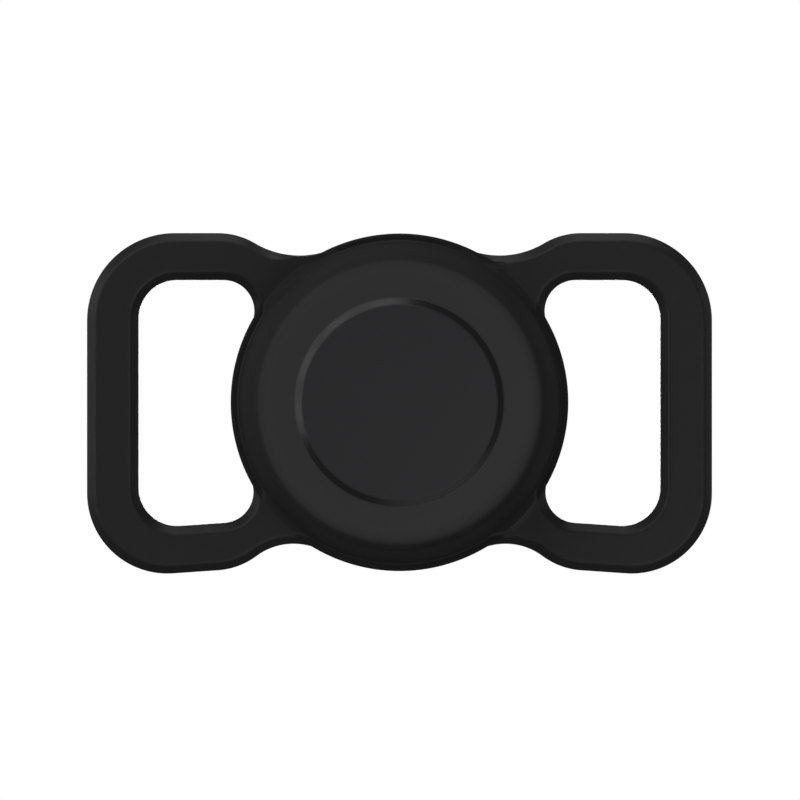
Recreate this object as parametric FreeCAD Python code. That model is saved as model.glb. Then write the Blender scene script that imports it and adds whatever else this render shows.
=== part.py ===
import FreeCAD, Part
import math
import os

from FreeCAD import Vector

# Tracker tag holder for a collar strap: one silicone moulding with a round pod between two strap
# loops, and the coin-shaped tracker that it holds. Lengths are in millimetres, angles in degrees.
# Everything is drawn lying on its back, with depth along Z, and stood up at the end, so that the
# front faces -Y and the origin is where the pod's axis meets the back face.

# Coin cell
cell_diameter = 20.0
cell_thickness = 3.2
cell_cap_height = 0.8
cell_cap_step = 0.2
cell_rim_wall = 0.6
cell_gasket_wall = 0.4
cell_gasket_proud = 0.05
cell_edge_round = 0.4
cell_cap_round = 0.3
cell_fit = 0.02

# Battery cover and its bayonet ring
cover_plate_thickness = 0.5
cover_edge_round = 0.3
cover_clearance = 0.1
cover_overhang = 1.0
coin_slot_length = 14.0
coin_slot_width = 1.8
coin_slot_depth = 0.25
bayonet_flange_thickness = 0.3
bayonet_skirt_gap = 0.7
bayonet_skirt_wall = 0.8
bayonet_tab_thickness = 0.55
bayonet_lug_thickness = 0.55
bayonet_count = 3
bayonet_tab_angle = 30.0
bayonet_lug_angle = 34.0
bayonet_stop_angle = 6.0
bayonet_play_angle = 1.0
bayonet_first_angle = 30.0

# Cover seal, a flat ring in a groove
seal_width = 0.6
seal_thickness = 0.6
seal_side_clearance = 0.1
seal_end_clearance = 0.05

# Battery contacts
contact_thickness = 0.15
contact_play = 0.04
contact_window_margin = 0.5
negative_contact_width = 2.4
negative_contact_pad = 2.0
negative_contact_reach = 2.8
negative_contact_tip = 1.2
positive_contact_count = 2
positive_contact_width = 3.0
positive_contact_pad = 0.8
positive_contact_stand = 0.45
contact_pocket_gap = 0.15
contact_pocket_wall = 0.55
contact_pocket_floor = 0.2

# Battery bay and cored-out rim of the back shell
cell_clearance = 0.15
bay_roof_gap = 0.4
bay_roof_thickness = 0.6
core_width = 2.0
core_floor = 0.35
core_rib_count = 6
core_rib_width = 0.8
stake_count = 3
stake_radius = 0.5
stake_boss_radius = 1.1
stake_proud = 0.25
stake_clearance = 0.05
stake_antenna_gap = 0.15

# Circuit board and what it carries
board_ledge = 0.2
board_thickness = 0.6
component_room = 0.95
shield_length = 8.0
shield_width = 6.4
shield_height = 0.75
shield_wall = 0.15
shield_offset = 5.0
radio_chip_length = 5.0
radio_chip_width = 4.4
radio_chip_height = 0.45
small_chip_height = 0.55
memory_chip_length = 3.0
memory_chip_width = 2.0
memory_chip_x = 6.0
memory_chip_y = -3.4
motion_chip_side = 2.0
motion_chip_x = -6.4
motion_chip_y = -2.6
driver_chip_side = 2.0
driver_chip_x = -4.8
driver_chip_y = -5.6
crystal_length = 2.0
crystal_width = 1.6
crystal_height = 0.5
crystal_x = 6.8
crystal_y = 4.2
capacitor_length = 1.0
capacitor_width = 0.5
capacitor_height = 0.5
capacitor_ring_gap = 1.6
capacitor_pitch = 4.0
capacitor_count = 8
antenna_edge_inset = 0.3
antenna_wall = 0.25
antenna_height = 0.95
antenna_length = 50.0

# Sounder under the front shell
sounder_plate_radius = 9.0
sounder_plate_thickness = 0.15
sounder_plate_margin = 2.5
sounder_ceramic_thickness = 0.15
sounder_adhesive_width = 1.0
sounder_adhesive_thickness = 0.05
sounder_seat_clearance = 0.1
sounder_seat_wall = 0.6
sounder_seat_height = 0.3
sounder_contact_width = 1.2
sounder_contact_pad = 1.4
sounder_contact_reach = 2.4
ceramic_contact_x = -1.6
ceramic_contact_y = -3.0

# Tag shells
shell_wall = 1.0
shell_joint_clearance = 0.05
board_edge_gap = 0.34
tag_girth_level = 3.4
tag_taper_angle = 12.0
tag_front_edge_radius = 1.6
tag_back_edge_radius = 1.6

# Holder pod, and its mouth with a lip at the back that stretches over the tag
tag_clearance = 0.1
pod_wall = 1.15
pod_front_wall = 1.3
pod_shoulder_round = 1.5
pod_rim_width = 0.82
pod_rim_drop = 0.3
pod_rim_round = 0.35
pod_foot_fillet = 0.35
face_disc_radius = 11.4
face_disc_height = 0.5
face_disc_slope_width = 0.7
face_disc_round = 0.25
mouth_clearance = 0.4
lip_thickness = 1.3
lip_bevel = 0.4

# Strap loops
strap_width = 25.0
strap_clearance = 0.9
slot_width = 10.1
slot_outer_corner = 4.2
slot_inner_corner = 3.4
loop_thickness = 3.2
loop_side_bar = 5.15
loop_end_bar = 5.65
loop_top_corner = 9.6
loop_heel_corner = 8.8
loop_heel_drop = 0.85
loop_heel_angle = 3.9
neck_run = 1.4
neck_shoulder_radius = 8.0
neck_top_valley_radius = 9.5
neck_heel_valley_radius = 6.8
neck_sink = 0.15
loop_bevel = 0.9
loop_bevel_ease = 0.6
back_edge_round = 0.5

# One overrun serves every cut, one tolerance every search for flat edges, and one every join
overrun = 1.0
level_tolerance = 0.001
join_tolerance = 0.001

AXIS = Vector(0, 0, 1)
ORIGIN = Vector(0, 0, 0)
FULL_TURN = 360.0


def taper_offset(level, gap):
    """How far a wall that follows the tag's tapered side at a gap lies outside its girth."""
    taper = math.radians(tag_taper_angle)
    return (tag_girth_level - level) * math.tan(taper) + gap / math.cos(taper)


# Depths inside the tag, from its back
cover_depth = cover_plate_thickness + bayonet_flange_thickness
lug_back = cover_depth + cover_clearance
lug_front = lug_back + bayonet_lug_thickness
tab_back = lug_front + cover_clearance
tab_front = tab_back + bayonet_tab_thickness
ledge_level = tab_front + cover_clearance
groove_level = ledge_level + seal_thickness + seal_end_clearance
core_level = groove_level + core_floor
pocket_floor_level = groove_level + contact_pocket_floor
cell_back = cover_depth + cover_clearance
cell_front = cell_back + cell_thickness
cell_rim_level = cell_front - cell_cap_step
cell_can_level = cell_front - cell_cap_height
bay_roof = cell_front + bay_roof_gap
board_back = bay_roof + bay_roof_thickness
board_front = board_back + board_thickness
ceramic_back = board_front + component_room
plate_back = ceramic_back + sounder_ceramic_thickness
plate_front = plate_back + sounder_plate_thickness
shell_ceiling = plate_front + sounder_adhesive_thickness
tag_thickness = shell_ceiling + shell_wall

# Radii inside the tag, from the cell outwards
cell_radius = cell_diameter / 2
bay_radius = cell_radius + cell_clearance
skirt_inner = cell_radius + bayonet_skirt_gap
skirt_outer = skirt_inner + bayonet_skirt_wall
cover_radius = skirt_outer + cover_overhang
bore_radius = cover_radius + cover_clearance
seal_radius = (skirt_inner + skirt_outer) / 2
seal_half_groove = seal_width / 2 + seal_side_clearance
contact_stand = cell_radius + positive_contact_stand
pocket_outer = contact_stand + positive_contact_pad + contact_pocket_gap
core_inner = pocket_outer + contact_pocket_wall
core_outer = core_inner + core_width
board_radius = core_outer + board_ledge
antenna_outer = board_radius - antenna_edge_inset
antenna_inner = antenna_outer - antenna_wall
sounder_ceramic_radius = sounder_plate_radius - sounder_plate_margin
capacitor_ring_radius = sounder_plate_radius + capacitor_ring_gap
stake_ring_radius = antenna_inner - stake_antenna_gap - stake_radius
tag_radius = board_radius + board_edge_gap - taper_offset(board_front, -shell_wall)

# Holder sizes that follow from the tag and the strap
tag_back = lip_thickness + tag_clearance
tag_front = tag_back + tag_thickness
pocket_radius = tag_radius + tag_clearance
mouth_radius = cover_radius + mouth_clearance
pod_height = tag_front + tag_clearance + pod_front_wall
pod_gap = tag_clearance + pod_wall
rim_level = loop_thickness - pod_rim_drop
foot_radius = tag_radius + taper_offset(rim_level - tag_back, pod_gap)
shoulder_radius = tag_radius + taper_offset(pod_height - tag_back, pod_gap)
pod_radius = foot_radius + pod_rim_width
root_radius = pod_radius - neck_sink
buried_radius = root_radius - loop_bevel
half_span = pod_radius + slot_width + loop_end_bar
neck_start = pod_radius + neck_run
loop_top_height = strap_width / 2 + strap_clearance + loop_side_bar
heel_depth = loop_top_height + loop_heel_drop
heel_height = heel_depth - half_span * math.tan(math.radians(loop_heel_angle))
twist_range = (bayonet_tab_angle + bayonet_lug_angle) / 2 + 2 * bayonet_play_angle


def at_angle(radius, degrees):
    """Point in the flat at a radius and an angle from +X."""
    turn = math.radians(degrees)
    return Vector(radius * math.cos(turn), radius * math.sin(turn), 0)


def arc(centre, radius, start, end):
    """Arc edge in the flat about a centre, between two angles."""
    stops = (start, (start + end) / 2, end)
    return Part.Arc(*[centre + at_angle(radius, stop) for stop in stops]).toShape()


def line(start, end):
    return Part.makeLine(start, end)


def rounded_wire(corners):
    """Closed section wire in the XZ plane through (radius, depth, round) corners."""
    points = [Vector(corner[0], 0, corner[1]) for corner in corners]
    runs = []
    for index, corner in enumerate(corners):
        point = points[index]
        back = (points[index - 1] - point).normalize()
        ahead = (points[(index + 1) % len(points)] - point).normalize()
        ease = corner[2] if len(corner) > 2 else 0
        if ease == 0:
            runs.append((point, None, point))
            continue
        half = back.getAngle(ahead) / 2
        bisector = (back + ahead).normalize()
        reach = ease / math.tan(half)
        middle = point + bisector * (ease / math.sin(half) - ease)
        runs.append((point + back * reach, middle, point + ahead * reach))
    edges = []
    for index, run in enumerate(runs):
        if run[1] is not None:
            edges.append(Part.Arc(*run).toShape())
        following = runs[(index + 1) % len(runs)][0]
        if run[2].distanceToPoint(following) > Part.Precision.confusion():
            edges.append(line(run[2], following))
    return Part.Wire(edges)


def turned(corners):
    """Solid of revolution about the pod's axis."""
    return Part.Face(rounded_wire(corners)).revolve(ORIGIN, AXIS, FULL_TURN)


def ring(inner, outer, back, front):
    return turned([(inner, back), (outer, back), (outer, front), (inner, front)])


def ring_sector(inner, outer, back, front, first, last):
    """Part of a ring between two angles."""
    section = [(inner, back), (outer, back), (outer, front), (inner, front)]
    piece = Part.Face(rounded_wire(section)).revolve(ORIGIN, AXIS, last - first)
    return piece.rotate(ORIGIN, AXIS, first)


def block(length, width, height, x, y, back):
    """Box centred on a place in the flat."""
    return Part.makeBox(length, width, height, Vector(x - length / 2, y - width / 2, back))


def round_bar(radius, back, front, place):
    return Part.makeCylinder(radius, front - back, Vector(place.x, place.y, back))


def bent_strip(route, thickness, width):
    """Strip of sheet metal along a bent route of (across, depth) points, centred on its width."""
    points = [Vector(across, 0, depth) for across, depth in route]
    sides = []
    for index, point in enumerate(points):
        before = points[max(index - 1, 0)]
        after = points[min(index + 1, len(points) - 1)]
        runs = [run.normalize() for run in (point - before, after - point) if run.Length > 0]
        normals = [Vector(-run.z, 0, run.x) for run in runs]
        mitre = (normals[0] + normals[-1]).normalize()
        sides.append(mitre * (thickness / 2 / mitre.dot(normals[0])))
    outline = [point + side for point, side in zip(points, sides)]
    outline += [point - side for point, side in zip(reversed(points), reversed(sides))]
    face = Part.Face(Part.makePolygon(outline + outline[:1]))
    strip = face.extrude(Vector(0, width, 0))
    strip.translate(Vector(0, -width / 2, 0))
    return strip


def fused(first, *others):
    return first.multiFuse(list(others), join_tolerance).removeSplitter()


def rim_edges(shape, level):
    """Edges that lie flat at one depth, without those buried in the pod."""
    found = []
    for edge in shape.Edges:
        heights = [vertex.Z - level for vertex in edge.Vertexes] + [edge.CenterOfMass.z - level]
        middle = edge.CenterOfMass
        if max(map(abs, heights)) < level_tolerance and math.hypot(middle.x, middle.y) > buried_radius:
            found.append(edge)
    return found


def centre_beside_pod(edge_height, edge_slope, inset, radius):
    """Centre at an inset below a loop's edge line whose arc of this radius just enters the pod."""
    slope = math.radians(edge_slope)
    along = Vector(math.cos(slope), math.sin(slope), 0)
    foot = Vector(inset * math.sin(slope), edge_height - inset * math.cos(slope), 0)
    middle = foot.dot(along)
    reach = root_radius + radius
    return foot + along * (math.sqrt(middle ** 2 - foot.dot(foot) + reach ** 2) - middle)


def outer_corner(edge_height, edge_slope, end_x, radius):
    """Centre of the corner between a loop's edge line and its end."""
    slope = math.radians(edge_slope)
    x = end_x - radius
    return Vector(x, edge_height + x * math.tan(slope) - radius / math.cos(slope), 0)


def loop_rim(edge_height, edge_slope, valley_radius, corner_radius):
    """Upper rim of a loop: out of the pod by a valley and a shoulder, along its edge, to its end."""
    slope = math.radians(edge_slope)
    start = Vector(neck_start, edge_height + neck_start * math.tan(slope), 0)
    shoulder = start - at_angle(neck_shoulder_radius, edge_slope + FULL_TURN / 4)
    far = root_radius + valley_radius
    near = neck_shoulder_radius + valley_radius
    span = shoulder.Length
    along = (far ** 2 - near ** 2 + span ** 2) / (2 * span)
    unit = shoulder / span
    valley = unit * along + Vector(-unit.y, unit.x, 0) * math.sqrt(far ** 2 - along ** 2)
    inflection = math.degrees((valley - shoulder).getAngle(Vector(1, 0, 0)))
    touch = math.degrees(valley.getAngle(Vector(1, 0, 0)))
    corner = outer_corner(edge_height, edge_slope, half_span, corner_radius)
    tangent = edge_slope + FULL_TURN / 4
    return [
        arc(valley, valley_radius, touch + FULL_TURN / 2, inflection + FULL_TURN / 2),
        arc(shoulder, neck_shoulder_radius, inflection, tangent),
        line(start, corner + at_angle(corner_radius, tangent)),
        arc(corner, corner_radius, tangent, 0),
    ]


def slot_rim(edge_height, edge_slope):
    """Upper rim of a strap slot: from the pod round a small corner, along, to the outer end."""
    slope = math.radians(edge_slope)
    height = edge_height - loop_side_bar / math.cos(slope)
    inner = centre_beside_pod(height, edge_slope, slot_inner_corner, slot_inner_corner)
    outer = outer_corner(height, edge_slope, half_span - loop_end_bar, slot_outer_corner)
    touch = math.degrees(inner.getAngle(Vector(1, 0, 0)))
    tangent = edge_slope + FULL_TURN / 4
    return [
        arc(inner, slot_inner_corner, touch + FULL_TURN / 2, tangent),
        line(inner + at_angle(slot_inner_corner, tangent),
             outer + at_angle(slot_outer_corner, tangent)),
        arc(outer, slot_outer_corner, tangent, 0),
    ]


def closed_outline(top, bottom):
    """Wire from an upper rim, a lower rim drawn mirrored, the end between and a chord in the pod."""
    bottom = [edge.mirror(ORIGIN, Vector(0, 1, 0)) for edge in bottom]
    end = line(top[-1].Vertexes[-1].Point, bottom[-1].Vertexes[-1].Point)
    chord = line(top[0].Vertexes[0].Point, bottom[0].Vertexes[0].Point)
    return Part.Wire(Part.__sortEdges__(top + [end] + bottom + [chord]))


def strap_loop():
    """Right strap loop: a flat frame round the slot, bevelled in front and rounded behind."""
    top = loop_rim(loop_top_height, 0, neck_top_valley_radius, loop_top_corner)
    heel = loop_rim(heel_height, loop_heel_angle, neck_heel_valley_radius, loop_heel_corner)
    frame = Part.Face(closed_outline(top, heel))
    slot_top = slot_rim(loop_top_height, 0)
    slot_heel = slot_rim(heel_height, loop_heel_angle)
    slot = Part.Face(closed_outline(slot_top, slot_heel))
    loop = frame.cut(slot).extrude(Vector(0, 0, loop_thickness))
    loop = loop.makeChamfer(loop_bevel, rim_edges(loop, loop_thickness))
    loop = loop.makeFillet(loop_bevel_ease, rim_edges(loop, loop_thickness))
    return loop.makeFillet(back_edge_round, rim_edges(loop, 0))


def pod_outside():
    """Outside of the pod: rim, wall along the tag's taper, flat face and the raised disc on it."""
    disc_top = pod_height + face_disc_height
    return turned([
        (0, 0),
        (pod_radius, 0, back_edge_round),
        (pod_radius, rim_level, pod_rim_round),
        (foot_radius, rim_level, pod_foot_fillet),
        (shoulder_radius, pod_height, pod_shoulder_round),
        (face_disc_radius, pod_height, face_disc_round),
        (face_disc_radius - face_disc_slope_width, disc_top, face_disc_round),
        (0, disc_top),
    ])


def tag_pocket():
    """Room for the tag, its clearance included, with the mouth through the lip."""
    front = tag_front + tag_clearance
    room = turned([
        (0, lip_thickness),
        (pocket_radius, lip_thickness, tag_back_edge_radius + tag_clearance),
        (pocket_radius, tag_back + tag_girth_level),
        (tag_radius + taper_offset(front - tag_back, tag_clearance), front,
         tag_front_edge_radius + tag_clearance),
        (0, front),
    ])
    mouth = turned([
        (0, 0),
        (mouth_radius + lip_bevel, 0),
        (mouth_radius, lip_bevel),
        (mouth_radius, lip_thickness + overrun),
        (0, lip_thickness + overrun),
    ])
    return room.fuse(mouth)


def holder_body():
    right = strap_loop()
    left = right.mirror(ORIGIN, Vector(1, 0, 0))
    return fused(pod_outside(), right, left).cut(tag_pocket())


def tag_front_shell():
    """Front half of the tag's case, with a low ring inside that centres the sounder."""
    seat_inner = sounder_plate_radius + sounder_seat_clearance
    seat_outer = seat_inner + sounder_seat_wall
    seat_level = shell_ceiling - sounder_seat_height
    return turned([
        (tag_radius + taper_offset(tag_girth_level, -shell_wall), tag_girth_level),
        (tag_radius, tag_girth_level),
        (tag_radius + taper_offset(tag_thickness, 0), tag_thickness, tag_front_edge_radius),
        (0, tag_thickness),
        (0, shell_ceiling),
        (seat_inner, shell_ceiling),
        (seat_inner, seat_level),
        (seat_outer, seat_level),
        (seat_outer, shell_ceiling),
        (tag_radius + taper_offset(shell_ceiling, -shell_wall), shell_ceiling,
         tag_front_edge_radius - shell_wall),
    ])


def bayonet_angles():
    step = FULL_TURN / bayonet_count
    return [bayonet_first_angle + step * index for index in range(bayonet_count)]


def positive_contact_angles():
    step = FULL_TURN / positive_contact_count
    return [step * index for index in range(positive_contact_count)]


def stake_places():
    step = FULL_TURN / stake_count
    return [at_angle(stake_ring_radius, FULL_TURN / 4 + step * index) for index in range(stake_count)]


def back_shell_turning():
    """Back half of the case: cover bore, seal groove, battery bay and a cored-out rim."""
    joint_gap = -shell_wall - shell_joint_clearance
    return turned([
        (bore_radius, 0),
        (tag_radius, 0, tag_back_edge_radius),
        (tag_radius, tag_girth_level),
        (tag_radius + taper_offset(tag_girth_level, joint_gap), tag_girth_level),
        (tag_radius + taper_offset(board_back, joint_gap), board_back),
        (core_outer, board_back),
        (core_outer, core_level),
        (core_inner, core_level),
        (core_inner, board_back),
        (0, board_back),
        (0, bay_roof),
        (bay_radius, bay_roof),
        (bay_radius, ledge_level),
        (seal_radius - seal_half_groove, ledge_level),
        (seal_radius - seal_half_groove, groove_level),
        (seal_radius + seal_half_groove, groove_level),
        (seal_radius + seal_half_groove, ledge_level),
        (bore_radius, ledge_level),
    ])


def tag_back_shell():
    """Back shell with bayonet lugs and stops, board stakes, ribs and contact openings."""
    added = []
    lug_inner = skirt_outer + cover_clearance
    lug_outer = bore_radius + cover_clearance
    for angle in bayonet_angles():
        first = angle - bayonet_lug_angle / 2
        added.append(ring_sector(lug_inner, lug_outer, lug_back, lug_front,
                                 first, first + bayonet_lug_angle))
        stop = angle + bayonet_tab_angle / 2 + bayonet_play_angle
        added.append(ring_sector(lug_inner, lug_outer, lug_front, ledge_level,
                                 stop, stop + bayonet_stop_angle))
    rib_step = FULL_TURN / core_rib_count
    rib_middle = (core_inner + core_outer) / 2
    for index in range(core_rib_count):
        rib = block(core_width + stake_clearance, core_rib_width, board_back - core_level,
                    rib_middle, 0, core_level)
        added.append(rib.rotate(ORIGIN, AXIS, rib_step * index))
    for place in stake_places():
        added.append(round_bar(stake_boss_radius, core_level, board_back, place))
        added.append(round_bar(stake_radius, core_level, board_front + stake_proud, place))
    shell = fused(back_shell_turning(), *added)
    window_length = negative_contact_pad + negative_contact_reach + negative_contact_tip
    cuts = [block(window_length + 2 * contact_window_margin,
                  negative_contact_width + 2 * contact_window_margin,
                  bay_roof_thickness + 2 * overrun, 0, 0, bay_roof - overrun)]
    for angle in positive_contact_angles():
        pocket_inner = bay_radius - overrun
        pocket = block(pocket_outer - pocket_inner, positive_contact_width + contact_window_margin,
                       board_back - pocket_floor_level + overrun,
                       (pocket_outer + pocket_inner) / 2, 0, pocket_floor_level)
        cuts.append(pocket.rotate(ORIGIN, AXIS, angle))
    return shell.cut(cuts)


def battery_cover():
    """Stainless cover plate with a coin slot pressed into its back."""
    plate = turned([
        (0, 0),
        (cover_radius, 0, cover_edge_round),
        (cover_radius, cover_plate_thickness),
        (0, cover_plate_thickness),
    ])
    half = (coin_slot_length - coin_slot_width) / 2
    depth = coin_slot_depth + overrun
    slot = block(2 * half, coin_slot_width, depth, 0, 0, -overrun)
    ends = [round_bar(coin_slot_width / 2, -overrun, coin_slot_depth, Vector(side * half, 0, 0))
            for side in (-1, 1)]
    return plate.cut(fused(slot, *ends))


def cover_bayonet():
    """Plastic ring under the cover plate, with the tabs that turn in behind the lugs."""
    tab_outer = cover_radius - cover_clearance
    body = turned([
        (skirt_inner, cover_plate_thickness),
        (tab_outer, cover_plate_thickness),
        (tab_outer, cover_depth),
        (skirt_outer, cover_depth),
        (skirt_outer, tab_front),
        (skirt_inner, tab_front),
    ])
    tabs = []
    for angle in bayonet_angles():
        first = angle - bayonet_tab_angle / 2
        tabs.append(ring_sector(skirt_outer - cover_clearance, tab_outer, tab_back, tab_front,
                                first, first + bayonet_tab_angle))
    return fused(body, *tabs)


def cover_seal():
    half = seal_width / 2
    return ring(seal_radius - half, seal_radius + half, ledge_level, ledge_level + seal_thickness)


def cell_can():
    """Positive can of the coin cell, filled to the level of its cap, with a crimped rim."""
    rim_inner = cell_radius - cell_rim_wall
    return turned([
        (0, cell_back),
        (cell_radius, cell_back, cell_edge_round),
        (cell_radius, cell_rim_level, cell_edge_round),
        (rim_inner, cell_rim_level),
        (rim_inner, cell_can_level),
        (0, cell_can_level),
    ])


def gasket_inner_radius():
    return cell_radius - cell_rim_wall - cell_gasket_wall


def cell_gasket():
    return ring(gasket_inner_radius(), cell_radius - cell_rim_wall - cell_fit,
                cell_can_level, cell_rim_level + cell_gasket_proud)


def cell_cap():
    radius = gasket_inner_radius() - cell_fit
    return turned([
        (0, cell_can_level),
        (radius, cell_can_level),
        (radius, cell_front, cell_cap_round),
        (0, cell_front),
    ])


def negative_contact():
    """Leaf spring from the board through the bay's roof down to the cell's cap."""
    half = contact_thickness / 2
    pad_level = board_back - half
    low_level = cell_front + half + contact_play
    start = (negative_contact_pad + negative_contact_reach + negative_contact_tip) / 2
    knee = start - negative_contact_pad
    toe = knee - negative_contact_reach
    return bent_strip([
        (start, pad_level),
        (knee, pad_level),
        (toe, low_level),
        (toe - negative_contact_tip, (low_level + pad_level) / 2),
    ], contact_thickness, negative_contact_width)


def positive_contacts():
    """Leaf springs that press on the side of the can from pockets in the bay wall."""
    half = contact_thickness / 2
    pad_level = board_back - half
    low_level = pocket_floor_level + half + contact_play
    press_level = (low_level + cell_rim_level) / 2
    strips = []
    for angle in positive_contact_angles():
        strip = bent_strip([
            (contact_stand + positive_contact_pad, pad_level),
            (contact_stand, pad_level),
            (contact_stand, cell_front),
            (cell_radius + contact_thickness + contact_play, press_level),
            (contact_stand, low_level),
        ], contact_thickness, positive_contact_width)
        strips.append(strip.rotate(ORIGIN, AXIS, angle))
    return Part.makeCompound(strips)


def circuit_board():
    board = round_bar(board_radius, board_back, board_front, ORIGIN)
    holes = [round_bar(stake_radius + stake_clearance, board_back - overrun,
                       board_front + overrun, place) for place in stake_places()]
    return board.cut(holes)


def shield_can():
    """Tin box over the radio, open towards the board."""
    outside = block(shield_length, shield_width, shield_height, 0, shield_offset, board_front)
    inside = block(shield_length - 2 * shield_wall, shield_width - 2 * shield_wall,
                   shield_height - shield_wall, 0, shield_offset, board_front)
    return outside.cut(inside)


def radio_chip():
    return block(radio_chip_length, radio_chip_width, radio_chip_height,
                 0, shield_offset, board_front)


def board_chips():
    return Part.makeCompound([
        block(memory_chip_length, memory_chip_width, small_chip_height,
              memory_chip_x, memory_chip_y, board_front),
        block(motion_chip_side, motion_chip_side, small_chip_height,
              motion_chip_x, motion_chip_y, board_front),
        block(driver_chip_side, driver_chip_side, small_chip_height,
              driver_chip_x, driver_chip_y, board_front),
    ])


def crystal():
    return block(crystal_length, crystal_width, crystal_height, crystal_x, crystal_y, board_front)


def chip_capacitors():
    """Row of chip capacitors along the lower edge of the board."""
    step = math.degrees(capacitor_pitch / capacitor_ring_radius)
    first = -FULL_TURN / 4 - step * (capacitor_count - 1) / 2
    row = []
    for index in range(capacitor_count):
        part = block(capacitor_width, capacitor_length, capacitor_height,
                     capacitor_ring_radius, 0, board_front)
        row.append(part.rotate(ORIGIN, AXIS, first + step * index))
    return Part.makeCompound(row)


def antenna():
    """Bent strip antenna that stands on edge round the upper rim of the board."""
    turn = math.degrees(antenna_length / ((antenna_inner + antenna_outer) / 2))
    first = (FULL_TURN / 2 - turn) / 2
    return ring_sector(antenna_inner, antenna_outer, board_front, board_front + antenna_height,
                       first, first + turn)


def sounder_plate():
    return round_bar(sounder_plate_radius, plate_back, plate_front, ORIGIN)


def sounder_ceramic():
    return round_bar(sounder_ceramic_radius, ceramic_back, plate_back, ORIGIN)


def sounder_adhesive():
    return ring(sounder_plate_radius - sounder_adhesive_width, sounder_plate_radius,
                plate_front, shell_ceiling)


def sounder_contacts():
    """Two leaf springs on the board, one to the sounder's plate and one to its ceramic."""
    half = contact_thickness / 2
    plate_contact_y = -(sounder_ceramic_radius + sounder_plate_radius) / 2
    springs = []
    for x, y, target in ((0, plate_contact_y, plate_back),
                         (ceramic_contact_x, ceramic_contact_y, ceramic_back)):
        spring = bent_strip([
            (-sounder_contact_pad, board_front + half),
            (0, board_front + half),
            (sounder_contact_reach, target - half - contact_play),
        ], contact_thickness, sounder_contact_width)
        spring.translate(Vector(x - sounder_contact_reach / 2, y, 0))
        springs.append(spring)
    return Part.makeCompound(springs)


TAG_PIECES = [
    tag_back_shell, battery_cover, cover_bayonet, cover_seal, cell_can, cell_gasket, cell_cap,
    negative_contact, positive_contacts, circuit_board, shield_can, radio_chip, board_chips,
    crystal, chip_capacitors, antenna, sounder_contacts, sounder_ceramic, sounder_plate,
    sounder_adhesive, tag_front_shell,
]


def stood_up(shape):
    """Turns depth along Z into depth along -Y, front towards the viewer."""
    return shape.rotate(ORIGIN, Vector(1, 0, 0), FULL_TURN / 4)


def export_all():
    os.makedirs("parts", exist_ok=True)
    stood_up(holder_body()).exportStep("parts/holder_body.step")
    for piece in TAG_PIECES:
        shape = piece()
        shape.translate(Vector(0, 0, tag_back))
        stood_up(shape).exportStep("parts/" + piece.__name__ + ".step")
    print("cover opens by", twist_range, "degrees")


export_all()
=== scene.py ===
import math

import bmesh
import bpy
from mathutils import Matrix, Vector


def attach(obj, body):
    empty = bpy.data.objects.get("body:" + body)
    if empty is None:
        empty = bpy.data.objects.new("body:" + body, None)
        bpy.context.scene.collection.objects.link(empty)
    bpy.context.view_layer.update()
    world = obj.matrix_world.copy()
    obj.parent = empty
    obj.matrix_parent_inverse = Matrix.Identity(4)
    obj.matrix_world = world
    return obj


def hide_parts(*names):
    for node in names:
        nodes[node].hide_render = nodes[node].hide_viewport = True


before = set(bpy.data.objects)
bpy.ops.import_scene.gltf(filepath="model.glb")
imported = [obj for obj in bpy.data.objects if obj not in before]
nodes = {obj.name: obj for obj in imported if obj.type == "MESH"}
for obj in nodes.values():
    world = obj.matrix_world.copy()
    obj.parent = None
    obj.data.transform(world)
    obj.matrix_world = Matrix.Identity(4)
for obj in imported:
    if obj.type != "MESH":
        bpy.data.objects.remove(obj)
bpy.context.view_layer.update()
bpy.ops.object.select_all(action="DESELECT")

# Sounder: a thin rolled brass plate with a fired, silvered ceramic disc bonded to its back. A ring of
# foam tape holds the plate's edge under the front shell, so that the tag's whole face sounds.
MM = 0.001


def linear(code):
    """Linear colour of an sRGB hex value."""
    parts = [int(code[place:place + 2], 16) / 255 for place in (1, 3, 5)]
    return [part / 12.92 if part <= 0.04045 else ((part + 0.055) / 1.055) ** 2.4
            for part in parts] + [1.0]


def add_node(tree, kind, settings, inputs):
    """Adds a shader node with its settings; an input is a value or another node's output."""
    node = tree.nodes.new("ShaderNode" + kind)
    for name, value in settings.items():
        setattr(node, name, value)
    for name, value in inputs.items():
        if isinstance(value, bpy.types.NodeSocket):
            tree.links.new(value, node.inputs[name])
        else:
            node.inputs[name].default_value = value
    return node


def new_finish(name):
    """Empty material and the Object coordinates that its patterns read."""
    finish = bpy.data.materials.new(name)
    finish.use_nodes = True
    tree = finish.node_tree
    tree.nodes.clear()
    return finish, tree, add_node(tree, "TexCoord", {}, {}).outputs["Object"]


def grained(name, colours, grain_mm, relief_mm, roughness, run=(1, 1, 1), **shading):
    """Finish whose colour, gloss and relief follow one grain of a real size, drawn out along a run."""
    finish, tree, place = new_finish(name)
    drawn = add_node(tree, "Mapping", {}, {"Vector": place, "Scale": run})
    grain = add_node(tree, "TexNoise", {}, {
        "Vector": drawn.outputs[0], "Scale": 1 / (grain_mm * MM), "Detail": 3.0})
    colour = add_node(tree, "Mix", {"data_type": "RGBA"}, {
        0: grain.outputs["Fac"], 6: linear(colours[0]), 7: linear(colours[1])})
    gloss = add_node(tree, "MapRange", {}, {
        "Value": grain.outputs["Fac"], "To Min": roughness[0], "To Max": roughness[1]})
    relief = add_node(tree, "Bump", {}, {
        "Height": grain.outputs["Fac"], "Distance": relief_mm * MM})
    shader = add_node(tree, "BsdfPrincipled", {}, {
        "Base Color": colour.outputs[2], "Roughness": gloss.outputs[0],
        "Normal": relief.outputs[0], **shading})
    add_node(tree, "OutputMaterial", {}, {"Surface": shader.outputs[0]})
    return finish


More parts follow.
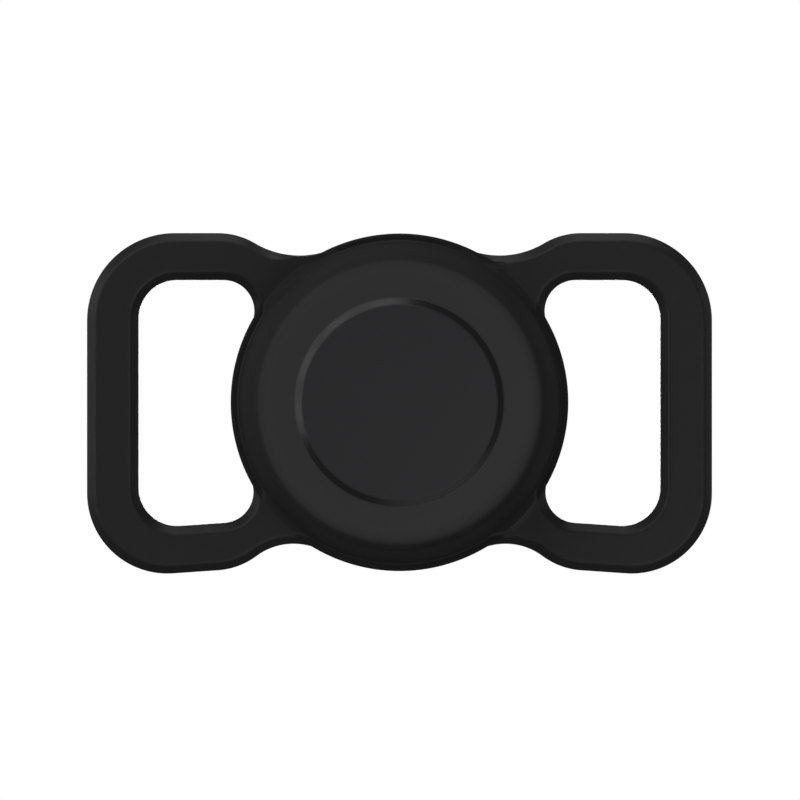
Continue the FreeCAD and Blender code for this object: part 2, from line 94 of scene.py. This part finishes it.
def dress(finish, *names):
    """Gives CAD nodes a finish."""
    for name in names:
        nodes[name].data.materials.clear()
        nodes[name].data.materials.append(finish)


# Rolled brass shines in long streaks along the roll. Fired silver on the ceramic is pale and satin, and cut
# foam is soft and without gloss.
dress(grained("rolled brass", ("#a5843f", "#b8975a"), 0.5, 0.002, (0.24, 0.36), (0.05, 1, 1),
              Metallic=1.0), "sounder_plate")
dress(grained("silvered ceramic", ("#cfcabd", "#dedad0"), 0.2, 0.002, (0.4, 0.5)), "sounder_ceramic")
dress(grained("foam tape", ("#d8d3c4", "#ece8dc"), 0.15, 0.02, (0.85, 0.95)), "sounder_adhesive")

# Front shell: the tag's dome, a white polycarbonate moulding from a polished tool. It is bonded to the back
# shell inside its rim, and the sounder inside makes it sound.

# Polished polycarbonate is bright and glossy, and only long reflections show that it isn't quite even.
polycarbonate = grained(
    "polished polycarbonate", ("#e9e9e6", "#f1f1ee"), 6.0, 0.0005, (0.1, 0.16), IOR=1.58)
dress(polycarbonate, "tag_front_shell")

# Circuit board: glass laminate under green solder mask, heat-staked to the back shell, with the radio
# and its chip under a tinned can, moulded chips, a crystal, chip capacitors and a bent antenna strip.

# Solder mask is a half glossy green film, and moulded epoxy is grey black and dull.
dress(grained("green solder mask", ("#0f4a2d", "#176039"), 0.5, 0.005, (0.33, 0.43)), "circuit_board")
dress(grained("moulded epoxy", ("#19191a", "#262627"), 0.1, 0.004, (0.64, 0.76)),
      "radio_chip", "board_chips")

# Tin plate is pale and softly bright, fired capacitors are brown and even, and rolled bronze under its
# plating has a warm shine drawn out along the strip.
dress(grained("tinned steel", ("#b2b3b1", "#c4c5c3"), 0.4, 0.002, (0.28, 0.4), Metallic=1.0),
      "shield_can", "crystal")
dress(grained("fired capacitor ceramic", ("#7d5f42", "#94744f"), 0.15, 0.003, (0.44, 0.56)),
      "chip_capacitors")
bronze = grained("plated spring bronze", ("#b8924e", "#cba765"), 0.4, 0.001, (0.21, 0.31), (0.1, 1, 1),
                 Metallic=1.0)
dress(bronze, "antenna", "sounder_contacts")

# Battery contacts: springs of the same plated bronze, stamped, bent and soldered to the board's back. One
# presses on the cell's cap and two on its can.
dress(bronze, "negative_contact", "positive_contacts")

# Back shell: the same polycarbonate. The battery bay, the lugs that hold the cover and the stakes that hold
# the board are moulded in.
dress(polycarbonate, "tag_back_shell")

# Cover seal: a flat ring of black rubber in a groove of the back shell. The cover squeezes it, which keeps
# water out of the battery bay.

# Rubber is black and dull, with a fine tooth.
dress(grained("seal rubber", ("#131313", "#1c1c1c"), 0.1, 0.004, (0.57, 0.67)), "cover_seal")

# Coin cell: a drawn steel can and cap, nickel plated. The can's edge is crimped over a moulded gasket that
# keeps the two apart.

# Nickel plate has a warm, even shine, and the gasket is pale and waxy.
dress(grained("nickel plated steel", ("#b9b8b3", "#c8c7c2"), 0.4, 0.001, (0.19, 0.29), Metallic=1.0),
      "cell_can", "cell_cap")
dress(grained("moulded gasket", ("#d9d7cf", "#e7e5de"), 0.3, 0.003, (0.45, 0.55)), "cell_gasket")

# Battery cover: a stainless plate, turned and brushed round its centre, with a slot for a coin pressed
# into its back. A moulded ring with three tabs is fixed under it and turns in behind the shell's lugs.
SIDES = 192
COVER_RADIUS = 12.5
COVER_BACK = 1.4
COVER_FRONT = 1.9
COIN_SLOT_LENGTH = 14.0
COIN_SLOT_WIDTH = 1.8
COIN_SLOT_FLOOR = 1.65
COVER_BACK_ROUND = 0.3
COVER_FRONT_ROUND = 0.05
COIN_SLOT_EDGE_ROUND = 0.12
COIN_SLOT_FLOOR_ROUND = 0.08
SMOOTH_BELOW = math.radians(32)


def rounded_path(corners):
    """Path through (across, depth, round) corners, each round drawn in steps of about 9 degrees."""
    path = []
    for index, (across, depth, ease) in enumerate(corners):
        corner = Vector((across, depth))
        if ease == 0:
            path.append(corner)
            continue
        back = (Vector(corners[index - 1][:2]) - corner).normalized()
        ahead = (Vector(corners[index + 1][:2]) - corner).normalized()
        half = back.angle(ahead) / 2
        centre = corner + (back + ahead).normalized() * ease / math.sin(half)
        spoke = corner + back * ease / math.tan(half) - centre
        swing = math.copysign(math.pi - 2 * half, back.cross(spoke))
        steps = max(2, round(abs(math.degrees(swing)) / 9))
        for step in range(steps + 1):
            turn = swing * step / steps
            path.append(centre + Vector((spoke.x * math.cos(turn) - spoke.y * math.sin(turn),
                                         spoke.x * math.sin(turn) + spoke.y * math.cos(turn))))
    return path


def turned(name, path):
    """Turns a path of (radius, depth) points about the pod's axis: a ring, drawn out and scaled."""
    (radius, depth), *others = path
    bpy.ops.mesh.primitive_circle_add(vertices=SIDES, radius=radius * MM,
                                      location=(0, -depth * MM, 0), rotation=(math.pi / 2, 0, 0))
    piece = bpy.context.object
    piece.name = name
    bpy.ops.object.transform_apply()
    bpy.ops.object.mode_set(mode="EDIT")
    for further in others:
        bpy.ops.mesh.extrude_region_move(
            TRANSFORM_OT_translate={"value": (0, (depth - further[1]) * MM, 0)})
        grow = further[0] / radius
        bpy.ops.transform.resize(value=(grow, 1, grow), center_override=(0, 0, 0))
        radius, depth = further
    bpy.ops.mesh.select_all(action="SELECT")
    bpy.ops.mesh.remove_doubles(threshold=0.0005 * MM)
    bpy.ops.mesh.select_mode(type="EDGE")
    bpy.ops.mesh.select_all(action="DESELECT")
    bpy.ops.mesh.select_non_manifold()
    bpy.ops.mesh.edge_face_add()
    bpy.ops.mesh.select_all(action="SELECT")
    bpy.ops.mesh.normals_make_consistent(inside=False)
    bpy.ops.object.mode_set(mode="OBJECT")
    for vertex in piece.data.vertices:
        vertex.co.y = round(vertex.co.y / MM, 3) * MM
    return piece


def polar(centre, radius, degrees):
    """Point at a distance and angle from a centre."""
    turn = math.radians(degrees)
    return Vector(centre) + Vector((math.cos(turn), math.sin(turn))) * radius


def arc(centre, radius, start, end, steps):
    """Points along an arc."""
    return [polar(centre, radius, start + (end - start) * step / steps) for step in range(steps + 1)]


def drawn_out(name, walls):
    """Solid between walls, each a stack of (outline, depth) layers, with its back and front filled in."""
    points, faces = [], []
    for layers in walls:
        for level, (outline, depth) in enumerate(layers):
            start, count = len(points), len(outline)
            points += [(point.x * MM, -round(depth, 3) * MM, point.y * MM) for point in outline]
            if level:
                faces += [(start - count + here, start - count + (here + 1) % count,
                           start + (here + 1) % count, start + here) for here in range(count)]
    mesh = bpy.data.meshes.new(name)
    mesh.from_pydata(points, [], faces)
    piece = bpy.data.objects.new(name, mesh)
    bpy.context.scene.collection.objects.link(piece)
    bpy.ops.object.select_all(action="DESELECT")
    bpy.context.view_layer.objects.active = piece
    piece.select_set(True)
    bpy.ops.object.mode_set(mode="EDIT")
    bpy.ops.mesh.select_mode(type="EDGE")
    for depth in (walls[0][0][1], walls[0][-1][1]):
        bpy.ops.mesh.select_all(action="DESELECT")
        bpy.ops.mesh.select_non_manifold()
        shape = bmesh.from_edit_mesh(mesh)
        for edge in shape.edges:
            if abs(edge.verts[0].co.y + depth * MM) > 0.001 * MM:
                edge.select = False
        shape.select_flush(False)
        bmesh.update_edit_mesh(mesh)
        bpy.ops.mesh.fill(use_beauty=True)
    bpy.ops.mesh.select_all(action="SELECT")
    bpy.ops.mesh.normals_make_consistent(inside=False)
    bpy.ops.object.mode_set(mode="OBJECT")
    return piece


def combine(piece, tool, operation):
    """Joins a tool to a piece or cuts it away."""
    bpy.ops.object.select_all(action="DESELECT")
    bpy.context.view_layer.objects.active = piece
    piece.select_set(True)
    seam = piece.modifiers.new("seam", "BOOLEAN")
    seam.operation = operation
    seam.solver = "EXACT"
    seam.object = tool
    bpy.ops.object.modifier_apply(modifier=seam.name)
    bpy.data.objects.remove(tool)


cover = turned("steel_cover", rounded_path([
    (1.0, COVER_BACK, 0), (COVER_RADIUS, COVER_BACK, COVER_BACK_ROUND),
    (COVER_RADIUS, COVER_FRONT, COVER_FRONT_ROUND), (1.0, COVER_FRONT, 0)]))
slot_section = [Vector((0.13, COVER_BACK - 0.1))] + rounded_path([
    (0.6, COVER_BACK, 0), (0, COVER_BACK, COIN_SLOT_EDGE_ROUND),
    (0, COIN_SLOT_FLOOR, COIN_SLOT_FLOOR_ROUND), (-0.4, COIN_SLOT_FLOOR, 0)])[1:]
slot_half = (COIN_SLOT_LENGTH - COIN_SLOT_WIDTH) / 2
slot_layers = [(arc((slot_half, 0), COIN_SLOT_WIDTH / 2 + grow, -90, 90, 24)
                + arc((-slot_half, 0), COIN_SLOT_WIDTH / 2 + grow, 90, 270, 24), depth)
               for grow, depth in slot_section]
combine(cover, drawn_out("coin_slot", [slot_layers]), "DIFFERENCE")
bpy.ops.object.shade_smooth_by_angle(angle=SMOOTH_BELOW)
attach(cover, "cover")
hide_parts("battery_cover")

# Marks of the brush run round the centre, so light stands on the plate in two opposite fans. They are drawn
# coarser than the real ones, which are too fine to show. The pressed slot is rougher, and its darker grey is
# painted shade in the recess.
finish, tree, place = new_finish("brushed stainless steel")
parts = add_node(tree, "SeparateXYZ", {}, {0: place})
flat = add_node(tree, "Mapping", {}, {"Vector": place, "Scale": (1, 0, 1)})
radius = add_node(tree, "VectorMath", {"operation": "LENGTH"}, {0: flat.outputs[0]})
angle = add_node(tree, "Math", {"operation": "ARCTAN2"}, {0: parts.outputs["Z"], 1: parts.outputs["X"]})
run = add_node(tree, "Math", {"operation": "MULTIPLY"}, {0: angle.outputs[0], 1: 1.5 * MM})
lay = add_node(tree, "CombineXYZ", {}, {"X": radius.outputs["Value"], "Y": run.outputs[0]})
marks = add_node(tree, "TexNoise", {}, {"Vector": lay.outputs[0], "Scale": 1 / (0.1 * MM), "Detail": 2.0})
colour = add_node(tree, "Mix", {"data_type": "RGBA"}, {
    0: marks.outputs["Fac"], 6: linear("#bcbdbe"), 7: linear("#d2d3d4")})
# The slot's mask makes it rougher and paints it a darker grey, as painted shade in the recess.
slot_dull_and_shaded = add_node(tree, "MapRange", {}, {
    "Value": parts.outputs["Y"], "From Min": -(COVER_BACK + 0.08) * MM,
    "From Max": -(COIN_SLOT_FLOOR - 0.05) * MM})
colour = add_node(tree, "Mix", {"data_type": "RGBA"}, {
    0: slot_dull_and_shaded.outputs[0], 6: colour.outputs[2], 7: linear("#7f8081")})
gloss = add_node(tree, "MapRange", {}, {"Value": marks.outputs["Fac"], "To Min": 0.2, "To Max": 0.36})
gloss = add_node(tree, "Math", {"operation": "MULTIPLY_ADD"}, {
    0: slot_dull_and_shaded.outputs[0], 1: 0.3, 2: gloss.outputs[0]})
relief = add_node(tree, "Bump", {}, {"Height": marks.outputs["Fac"], "Distance": 0.001 * MM})
around = add_node(tree, "Tangent", {"direction_type": "RADIAL", "axis": "Y"}, {})
shader = add_node(tree, "BsdfPrincipled", {}, {
    "Base Color": colour.outputs[2], "Metallic": 1.0, "Roughness": gloss.outputs[0], "Anisotropic": 0.5,
    "Normal": relief.outputs[0], "Tangent": around.outputs[0]})
add_node(tree, "OutputMaterial", {}, {"Surface": shader.outputs[0]})
cover.data.materials.append(finish)

# Moulded acetal has an even, waxy half gloss.
dress(grained("moulded acetal", ("#cfcec9", "#dbdad6"), 0.3, 0.003, (0.37, 0.47)), "cover_bayonet")

# Holder body: one piece of black silicone, moulded in a steel tool. A round pod grips the tag, which is
# pushed in through a lipped mouth at the back, and a flat loop for the strap grows out of its foot at each
# side, on a neck that runs softly into the pod's wall.
POD_RADIUS = 18.503
FOOT_RADIUS = 17.63
SHOULDER_RADIUS = 16.004
SHOULDER_ROUND = 1.5
RIM_DEPTH = 3.15
RIM_ROUND = 0.35
FACE_DEPTH = 10.8
DISC_DEPTH = 11.3
DISC_TOP_RADIUS = 10.6
DISC_FOOT_RADIUS = 11.5
DISC_ROUND = 0.25
WALL_TAPER = math.radians(12)
WALL_TAPER_HEIGHT = 2.6
MOUTH_RADIUS = 12.9
MOUTH_CHAMFER = 0.4
MOUTH_ROUND = 0.15
LIP_DEPTH = 1.3
POCKET_RADIUS = 16.101
POCKET_FLOOR_RADIUS = 15.104
POCKET_FLOOR = 9.5
POCKET_TAPER_START = 4.8
POCKET_ROUND = 1.7
BACK_ROUND = 0.5
LOOP_DEPTH = 3.2
BEVEL = 0.9
BEVEL_FOOT_ROUND = 0.25
BEVEL_TOP_ROUND = 0.6
ROOT_RADIUS = 18.353
HALF_SPAN = 34.253
NECK_START = 19.903
TOP_HEIGHT = 18.55
HEEL_HEIGHT = 17.065
HEEL_ANGLE = 3.9
TOP_VALLEY = 9.5
HEEL_VALLEY = 6.8
TOP_CORNER = 9.6
HEEL_CORNER = 8.8
NECK_SHOULDER = 8.0
SLOT_INNER_CORNER = 3.4
SLOT_OUTER_CORNER = 4.2
SIDE_BAR = 5.15
END_BAR = 5.65
CORE_RADIUS = 16.6
CLEAR_RADIUS = 18.02
CLEAR_DEPTH = 1.9
CLEAR_TURN = math.radians(0.4)
TOP_NECK = (27.4, 66.8)
HEEL_NECK = (-27.4, -62.0)
NECK_FILLET = 1.6
LEAST_FILLET = 0.06
FILLET_SINK = 0.06
FILLET_REACH = 0.81
NO_ROOM = -0.12
STRIP_CORE = 16.8
STRIP_BACK = 2.7
NECK_STEPS = 60
VALLEY_STEPS = 44
ROOT_SWEEP = 5
FADED_BEVEL = 0.15
FADE_LENGTH = 0.32


def bearing(point):
    """Angle of a point seen from the origin."""
    return math.degrees(math.atan2(point[1], point[0]))


def loop_edge(height, slope, valley, corner, inset, fade):
    """Upper edge of a loop from inside the pod to its end, moved in by an inset that may fade."""
    rise = math.tan(math.radians(slope))
    shoulder_centre = (Vector((NECK_START, height + NECK_START * rise))
                       - polar((0, 0), NECK_SHOULDER, slope + 90))
    far, near, span = ROOT_RADIUS + valley, NECK_SHOULDER + valley, shoulder_centre.length
    along = (far ** 2 - near ** 2 + span ** 2) / (2 * span)
    unit = shoulder_centre / span
    valley_centre = unit * along + Vector((-unit.y, unit.x)) * math.sqrt(far ** 2 - along ** 2)
    bend = bearing(valley_centre - shoulder_centre)
    touch = bearing(valley_centre)
    least = FADED_BEVEL if fade else 1
    root = [polar((0, 0), ROOT_RADIUS - (ROOT_RADIUS - CORE_RADIUS) * step ** 1.5
                  - inset * least * (1 - step), touch + ROOT_SWEEP * step)
            for step in (1, 0.8, 0.6, 0.4, 0.2)]
    dip = []
    for step, spot in enumerate(arc(valley_centre, valley, touch + 180, bend + 180, VALLEY_STEPS)):
        share = min(1, max(least, (step / VALLEY_STEPS - fade) / FADE_LENGTH)) if fade else 1
        dip.append(spot + (spot - valley_centre).normalized() * inset * share)
    corner_x = HALF_SPAN - corner
    corner_centre = (corner_x, height + corner_x * rise - corner / math.cos(math.radians(slope)))
    return (root + dip + arc(shoulder_centre, NECK_SHOULDER - inset, bend, slope + 90, 14)[1:]
            + arc(corner_centre, corner - inset, slope + 90, 0, 26))


def slot_edge(height, slope, inset):
    """Upper edge of a strap slot, from beside the pod out to its end, moved out by an inset."""
    lean = math.radians(slope)
    inner, outer = SLOT_INNER_CORNER, SLOT_OUTER_CORNER
    height -= SIDE_BAR / math.cos(lean)
    along = Vector((math.cos(lean), math.sin(lean)))
    foot = Vector((inner * math.sin(lean), height - inner * math.cos(lean)))
    middle = foot.dot(along)
    reach = ROOT_RADIUS + inner
    inner_centre = foot + along * (math.sqrt(middle ** 2 - foot.dot(foot) + reach ** 2) - middle)
    outer_x = HALF_SPAN - END_BAR - outer
    outer_centre = (outer_x, height + outer_x * math.tan(lean) - outer / math.cos(lean))
    return (arc(inner_centre, inner + inset, bearing(inner_centre) + 180, slope + 90, 22)
            + arc(outer_centre, outer + inset, slope + 90, 0, 20))


def closed(top, heel, steps):
    """Outline from an upper edge, a lower edge drawn mirrored, and an arc inside the pod."""
    heel = [Vector((point.x, -point.y)) for point in heel]
    inside = arc((0, 0), top[0].length, bearing(heel[0]), bearing(top[0]), steps)
    return top + heel[::-1] + inside[1:-1]


def wall_radius(depth):
    """Radius at a depth just inside the pod's tapered wall."""
    return FOOT_RADIUS - (depth - RIM_DEPTH) * math.tan(WALL_TAPER) - FILLET_SINK / math.cos(WALL_TAPER)


def neck_fillet(name, start, end, start_room, end_room):
    """Fillet between two bearings on the pod's wall, as wide as the room on the loop's flat allows."""
    layers = []
    for step in range(NECK_STEPS + 1):
        degrees = start + (end - start) * step / NECK_STEPS
        room = NECK_FILLET
        for edge, (curve, flat) in ((start, start_room), (end, end_room)):
            run = math.radians(abs(degrees - edge)) * ROOT_RADIUS
            clear = flat + run ** 2 * (1 / ROOT_RADIUS + 1 / curve) / 2
            room = min(room, max(LEAST_FILLET, clear / FILLET_REACH))
        foot = LOOP_DEPTH - FILLET_SINK
        top = foot + room
        section = rounded_path([
            (STRIP_CORE, STRIP_BACK, 0), (wall_radius(foot) + room, STRIP_BACK, 0),
            (wall_radius(foot) + room, foot, 0), (wall_radius(foot), foot, room),
            (wall_radius(top), top, 0), (STRIP_CORE, top, 0)])
        layers.append([(polar((0, 0), radius, degrees), depth) for radius, depth in section])
    points = [(spot.x * MM, -depth * MM, spot.y * MM) for layer in layers for spot, depth in layer]
    count = len(layers[0])
    faces = [tuple(range(count)), tuple(range(len(points) - count, len(points)))]
    for level in range(NECK_STEPS):
        for here in range(count):
            after = (here + 1) % count
            faces.append((level * count + here, level * count + after,
                          (level + 1) * count + after, (level + 1) * count + here))
    mesh = bpy.data.meshes.new(name)
    mesh.from_pydata(points, [], faces)
    piece = bpy.data.objects.new(name, mesh)
    bpy.context.scene.collection.objects.link(piece)
    return piece


holder = turned("silicone_holder", rounded_path([
    (1.0, DISC_DEPTH, 0), (DISC_TOP_RADIUS, DISC_DEPTH, DISC_ROUND),
    (DISC_FOOT_RADIUS, FACE_DEPTH, DISC_ROUND), (SHOULDER_RADIUS, FACE_DEPTH, SHOULDER_ROUND),
    (FOOT_RADIUS - WALL_TAPER_HEIGHT * math.tan(WALL_TAPER), RIM_DEPTH + WALL_TAPER_HEIGHT, 0),
    (FOOT_RADIUS, RIM_DEPTH, RIM_ROUND), (POD_RADIUS, RIM_DEPTH, RIM_ROUND), (POD_RADIUS, 0, BACK_ROUND),
    (MOUTH_RADIUS + MOUTH_CHAMFER, 0, MOUTH_ROUND), (MOUTH_RADIUS, MOUTH_CHAMFER, MOUTH_ROUND),
    (MOUTH_RADIUS, LIP_DEPTH, MOUTH_ROUND), (POCKET_RADIUS, LIP_DEPTH, POCKET_ROUND),
    (POCKET_RADIUS, POCKET_TAPER_START, 0), (POCKET_FLOOR_RADIUS, POCKET_FLOOR, POCKET_ROUND),
    (1.0, POCKET_FLOOR, 0)]))
edge_section = rounded_path([
    (1.0, 0, 0), (0, 0, BACK_ROUND), (0, LOOP_DEPTH - BEVEL, BEVEL_FOOT_ROUND),
    (BEVEL, LOOP_DEPTH, BEVEL_TOP_ROUND), (1.3, LOOP_DEPTH, 0)])

# Each loop has its side of the pod, the share of its upper valley where the bevel has faded out, and the room
# for its fillet at the valley's end. A clearance in its back leaves the pod's own foot to show there.
for name, side, fade, room in (("right_loop", 1, 0.01, NO_ROOM), ("left_loop", -1, 0.44, 0.22)):
    outer = [(closed(loop_edge(TOP_HEIGHT, 0, TOP_VALLEY, TOP_CORNER, inset,
                               fade if depth > LOOP_DEPTH / 2 else 0),
                     loop_edge(HEEL_HEIGHT, HEEL_ANGLE, HEEL_VALLEY, HEEL_CORNER, inset, 0), 40), depth)
             for inset, depth in edge_section]
    slot = [(closed(slot_edge(TOP_HEIGHT, 0, inset),
                    slot_edge(HEEL_HEIGHT, HEEL_ANGLE, inset), 24), depth)
            for inset, depth in edge_section]
    loop = drawn_out(name, [outer, slot])
    clearance = turned("pod_clearance", [
        (1.0, -1.0), (CLEAR_RADIUS, -1.0), (CLEAR_RADIUS, CLEAR_DEPTH), (1.0, CLEAR_DEPTH)])
    clearance.rotation_euler.y = CLEAR_TURN
    combine(loop, clearance, "DIFFERENCE")
    upper_neck = neck_fillet("upper_neck", *TOP_NECK, (SLOT_INNER_CORNER, NO_ROOM), (TOP_VALLEY, room))
    necks = neck_fillet("lower_neck", *HEEL_NECK, (SLOT_INNER_CORNER, NO_ROOM), (HEEL_VALLEY, NO_ROOM))
    bpy.ops.object.select_all(action="DESELECT")
    bpy.context.view_layer.objects.active = necks
    necks.select_set(True)
    upper_neck.select_set(True)
    bpy.ops.object.join()
    for growth in (loop, necks):
        bpy.ops.object.select_all(action="DESELECT")
        bpy.context.view_layer.objects.active = growth
        growth.select_set(True)
        growth.scale.x = side
        bpy.ops.object.transform_apply()
        bpy.ops.object.mode_set(mode="EDIT")
        bpy.ops.mesh.select_all(action="SELECT")
        bpy.ops.mesh.normals_make_consistent(inside=False)
        bpy.ops.object.mode_set(mode="OBJECT")
        combine(holder, growth, "UNION")
bpy.ops.object.shade_smooth_by_angle(angle=SMOOTH_BELOW)
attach(holder, "holder")
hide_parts("holder_body")

# The tool is blasted: its pod is left coarser, so the wall and the rim go dull, and its loops finer, so that
# their bevels catch soft light. The wall is painted a touch darker and the rim at its foot much darker, as
# painted shade. The face and the disc are painted paler, as painted light on the pod's top, and the slope
# round the disc is painted dark, as painted shade on the disc's edge. The slope is smooth, so that an edge of
# light stands on it. The grain is drawn coarser than it is, to show.
finish, tree, place = new_finish("moulded silicone")
parts = add_node(tree, "SeparateXYZ", {}, {0: place})
flat = add_node(tree, "Mapping", {}, {"Vector": place, "Scale": (1, 0, 1)})
radius = add_node(tree, "VectorMath", {"operation": "LENGTH"}, {0: flat.outputs[0]})
zones = {}
for zone, reads, first_mm, last_mm, easing in (
        ("outside", radius.outputs["Value"], 13.9, 15.2, "SMOOTHSTEP"),
        ("above", parts.outputs["Y"], -LOOP_DEPTH, -3.27, "SMOOTHSTEP"),
        ("within", radius.outputs["Value"], 18.6, 18.5, "LINEAR"),
        ("raised", parts.outputs["Y"], -2.2, -2.5, "LINEAR"),
        ("low", parts.outputs["Y"], -LOOP_DEPTH, -3.165, "LINEAR"),
        ("face", parts.outputs["Y"], -10.5, -10.795, "SMOOTHSTEP"),
        ("slope", parts.outputs["Y"], -10.82, -10.92, "SMOOTHSTEP"),
        ("disc", parts.outputs["Y"], -11.18, -11.29, "SMOOTHSTEP")):
    zones[zone] = add_node(tree, "MapRange", {"interpolation_type": easing}, {
        "Value": reads, "From Min": first_mm * MM, "From Max": last_mm * MM}).outputs[0]
# The wall's mask makes it dull and paints it a touch darker, as painted shade.
wall = add_node(tree, "Math", {"operation": "MULTIPLY"}, {0: zones["outside"], 1: zones["above"]})
ledge = add_node(tree, "Math", {"operation": "MULTIPLY"}, {0: zones["raised"], 1: zones["low"]})
# The rim's mask makes it dull and paints it dark, as painted shade at the foot of the wall.
rim_dull_and_shaded = add_node(tree, "Math", {"operation": "MULTIPLY"}, {0: zones["within"], 1: ledge.outputs[0]})
dull = add_node(tree, "Math", {"operation": "MAXIMUM"}, {0: wall.outputs[0], 1: rim_dull_and_shaded.outputs[0]})
edge = add_node(tree, "Math", {"operation": "SUBTRACT"}, {0: zones["slope"], 1: zones["disc"]})
# Colours over the base: the wall a touch darker and the rim dark, as painted shade; the face and the disc
# paler, as painted light; the slope round the disc dark, as painted shade.
tone = linear("#1e1e1f")
for share, code in ((wall.outputs[0], "#1d1d1e"), (rim_dull_and_shaded.outputs[0], "#161617"), (zones["face"], "#2e2e2f"),
                    (zones["slope"], "#1c1c1d"), (zones["disc"], "#28282a")):
    tone = add_node(tree, "Mix", {"data_type": "RGBA"}, {0: share, 6: tone, 7: linear(code)}).outputs[2]
gloss = add_node(tree, "MapRange", {}, {"Value": dull.outputs[0], "To Min": 0.46, "To Max": 0.8})
gloss = add_node(tree, "Math", {"operation": "MULTIPLY_ADD"}, {
    0: edge.outputs[0], 1: -0.21, 2: gloss.outputs[0]})
grain = add_node(tree, "TexNoise", {}, {"Vector": place, "Scale": 1 / (0.25 * MM), "Detail": 2.0})
relief = add_node(tree, "Bump", {}, {"Height": grain.outputs["Fac"], "Distance": 0.006 * MM})
shader = add_node(tree, "BsdfPrincipled", {}, {
    "Base Color": tone, "Roughness": gloss.outputs[0], "IOR": 1.41,
    "Specular IOR Level": 0.3, "Normal": relief.outputs[0]})
add_node(tree, "OutputMaterial", {}, {"Surface": shader.outputs[0]})
holder.data.materials.append(finish)

# Floor: a white acrylic light table far below the part, as used for pictures on plain white. It is left out
# of reflections and bounced light, so that it doesn't brighten the part from below.
FLOOR_SIZE = 14.0
FLOOR_HEIGHT = -2.4
bpy.ops.mesh.primitive_plane_add(size=FLOOR_SIZE, location=(0, 0, FLOOR_HEIGHT))
floor = bpy.context.object
floor.name = "floor"

# Acrylic lit from below is an even white with a faint haze, drawn coarser than the real one.
finish, tree, place = new_finish("lit white acrylic")
haze = add_node(tree, "TexNoise", {}, {"Vector": place, "Scale": 1 / (60 * MM), "Detail": 2.0})
level = add_node(tree, "MapRange", {}, {"Value": haze.outputs["Fac"], "To Min": 0.84, "To Max": 0.88})
shader = add_node(tree, "Emission", {}, {"Color": linear("#ffffff"), "Strength": level.outputs[0]})
add_node(tree, "OutputMaterial", {}, {"Surface": shader.outputs[0]})
floor.data.materials.append(finish)
floor.visible_glossy = False
floor.visible_diffuse = False

# Light: soft boxes close round the part, in a studio that is white to the camera and dim to the part, so that
# matt black keeps its shape in soft edges of light. Four small ones draw the edge of the disc, two behind
# light the steel plate alone, and one behind and two at the sides serve the other views.
world = bpy.data.worlds.new("studio")
bpy.context.scene.world = world
world.use_nodes = True
tree = world.node_tree
tree.nodes.clear()
ray = add_node(tree, "LightPath", {}, {})
level = add_node(tree, "MapRange", {}, {
    "Value": ray.outputs["Is Camera Ray"], "To Min": 0.13, "To Max": 1.0})
studio = add_node(tree, "Background", {}, {"Color": linear("#ffffff"), "Strength": level.outputs[0]})
add_node(tree, "OutputWorld", {}, {"Surface": studio.outputs[0]})
cover_only = bpy.data.collections.new("cover_only")
cover_only.objects.link(cover)
all_but_cover = bpy.data.collections.new("all_but_cover")
all_but_cover.objects.link(cover)
all_but_cover.collection_objects[0].light_linking.link_state = "EXCLUDE"
BOX_DISTANCE = 0.6
for name, off_view, round_view, irradiance, size, lit in (
        ("key_left_box", 54, 186, 0.34, 0.23, None),
        ("key_side_box", 54, 157, 0.36, 0.23, None),
        ("key_high_box", 54, 128, 0.36, 0.23, None),
        ("key_top_box", 54, 99, 0.36, 0.23, None),
        ("low_box", 40, 296, 0.77, 0.6, None),
        ("top_box", 88, 86, 0.68, 0.36, None),
        ("left_box", 86, 162, 0.52, 0.36, None),
        ("right_box", 84, 20, 0.1, 0.36, None),
        ("right_side_box", 114, 5, 0.26, 0.36, all_but_cover),
        ("left_side_box", 114, 175, 0.14, 0.36, all_but_cover),
        ("front_box", 25, 340, 0.42, 0.36, None),
        ("back_box", 178, 90, 1.6, 0.24, all_but_cover),
        ("plate_high_box", 140, 80, 0.6, 0.6, cover_only),
        ("plate_low_box", 142, 262, 1.0, 0.6, cover_only)):
    off, about = math.radians(off_view), math.radians(round_view)
    toward = Vector((math.sin(off) * math.cos(about), -math.cos(off), math.sin(off) * math.sin(about)))
    lamp = bpy.data.lights.new(name, "AREA")
    lamp.shape = "DISK"
    lamp.size = size
    lamp.energy = irradiance * math.pi * BOX_DISTANCE ** 2
    box = bpy.data.objects.new(name, lamp)
    bpy.context.scene.collection.objects.link(box)
    box.location = toward * BOX_DISTANCE
    box.rotation_euler = (-toward).to_track_quat("-Z", "Y").to_euler()
    box.visible_camera = False
    box.light_linking.receiver_collection = lit

# Camera: level with the pod and straight in front of it, 2 m away on a long lens, so that the sides of the
# part stay out of sight. It stands a little off the pod's axis, as the photograph is framed.
photo_width = 800
mm_per_pixel = 0.10973
pod_centre_pixel = (399.5, 402.3)
distance = 2.0
sensor = 36.0
lens = bpy.data.cameras.new("camera")
lens.sensor_width = sensor
lens.lens = sensor * distance / (photo_width * mm_per_pixel * MM)
lens.clip_end = 20.0
camera = bpy.data.objects.new("camera", lens)
bpy.context.scene.collection.objects.link(camera)
side = (photo_width / 2 - pod_centre_pixel[0]) * mm_per_pixel * MM
rise = (pod_centre_pixel[1] - photo_width / 2) * mm_per_pixel * MM
camera.location = (side, -distance, rise)
camera.rotation_euler = (math.pi / 2, 0, 0)
bpy.context.scene.camera = camera
bpy.context.scene.view_settings.view_transform = "Standard"
